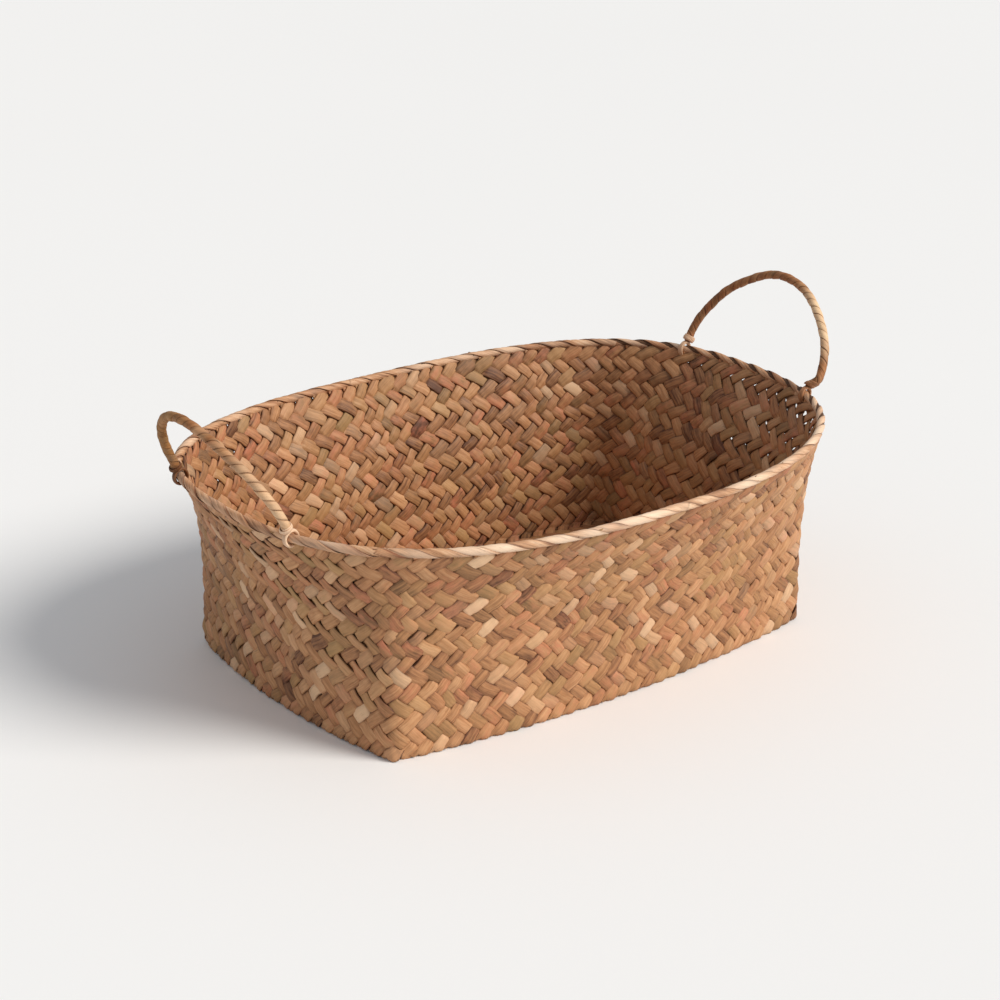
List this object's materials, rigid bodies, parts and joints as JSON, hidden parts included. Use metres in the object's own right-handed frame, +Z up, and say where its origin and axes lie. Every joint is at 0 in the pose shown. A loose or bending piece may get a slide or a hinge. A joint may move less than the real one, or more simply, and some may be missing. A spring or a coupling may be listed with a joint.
{
  "type": "bread basket",
  "caption": "Plaited leaf basket with a flat rectangular base, flared walls, a wrapped oval rim and two twisted-cord loop handles at the ends.",
  "frame": {"origin": "centre of the footprint, on the surface the basket stands on", "axes": "+X along the long side towards the right-hand handle, +Y across towards the rear, +Z up out of the opening"},
  "size_m": [0.3751, 0.2326, 0.1555],
  "materials": {
    "plaited_leaf": "dry matte leaf",
    "rim_leaf": "dry matte leaf",
    "handle_cord": "dry matte twisted leaf"
  },
  "bodies": {
    "basket": {"woven_shell": "plaited_leaf", "rim_core_hoop": "plaited_leaf", "rim_wrap_1": "rim_leaf", "rim_wrap_2": "rim_leaf", "rim_wrap_3": "rim_leaf", "rim_wrap_4": "rim_leaf", "rim_wrap_5": "rim_leaf", "rim_wrap_6": "rim_leaf"},
    "left_handle": {"left_handle_ply_a": "handle_cord", "left_handle_ply_b": "handle_cord", "left_handle_front_loop": "rim_leaf", "left_handle_rear_loop": "rim_leaf", "left_handle_front_collar": "rim_leaf", "left_handle_rear_collar": "rim_leaf"},
    "right_handle": {"right_handle_ply_a": "handle_cord", "right_handle_ply_b": "handle_cord", "right_handle_front_loop": "rim_leaf", "right_handle_rear_loop": "rim_leaf", "right_handle_front_collar": "rim_leaf", "right_handle_rear_collar": "rim_leaf"}
  },
  "joints": [
    {"name": "left_handle_tilt", "type": "hinge", "parent": "basket", "child": "left_handle", "pos_m": [-0.15964, 0, 0.1063], "axis": [0, -1, 0], "range_deg": [-118, 135]},
    {"name": "right_handle_tilt", "type": "hinge", "parent": "basket", "child": "right_handle", "pos_m": [0.15964, 0, 0.1063], "axis": [0, 1, 0], "range_deg": [-118, 135]}
  ]
}
